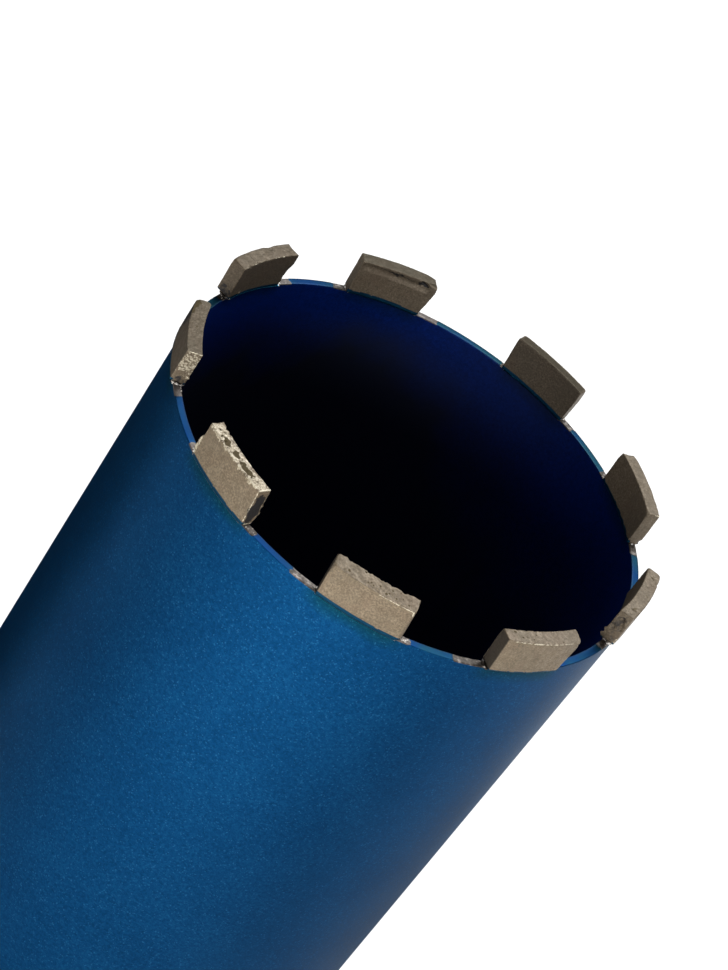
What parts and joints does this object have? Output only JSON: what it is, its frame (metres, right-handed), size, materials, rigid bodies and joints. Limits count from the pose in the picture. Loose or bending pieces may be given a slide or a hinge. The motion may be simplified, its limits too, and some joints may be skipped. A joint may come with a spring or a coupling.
{
  "type": "diamond core bit",
  "caption": "Thin-walled steel tube with sintered diamond segments brazed on its open rim and a threaded hexagon hub on a welded back plate.",
  "frame": {"origin": "centre of the hub's end face, on which the bit stands", "axes": "+Z along the bit's axis, from the hub towards the cutting rim; the wide gap between two segments is on the +Y side"},
  "size_m": [0.1265, 0.1268, 0.3505],
  "materials": {
    "blue_paint": "metallic blue enamel on steel, fine sparkle, satin gloss",
    "hub_steel": "turned and milled bare steel",
    "sintered_segment": "sintered metal bond with diamond grit, grey-brown, fine grained and pitted",
    "silver_solder": "silver solder, bright where bare, painted over outside"
  },
  "bodies": {
    "root": {"barrel": "blue_paint", "back_plate": "blue_paint", "plate_weld": "blue_paint", "hub_weld": "blue_paint", "hub": "hub_steel", "segment_1": "sintered_segment", "segment_2": "sintered_segment", "segment_3": "sintered_segment", "segment_4": "sintered_segment", "segment_5": "sintered_segment", "segment_6": "sintered_segment", "segment_7": "sintered_segment", "segment_8": "sintered_segment", "segment_9": "sintered_segment", "braze_1": "silver_solder", "braze_2": "silver_solder", "braze_3": "silver_solder", "braze_4": "silver_solder", "braze_5": "silver_solder", "braze_6": "silver_solder", "braze_7": "silver_solder", "braze_8": "silver_solder", "braze_9": "silver_solder"}
  },
  "joints": []
}
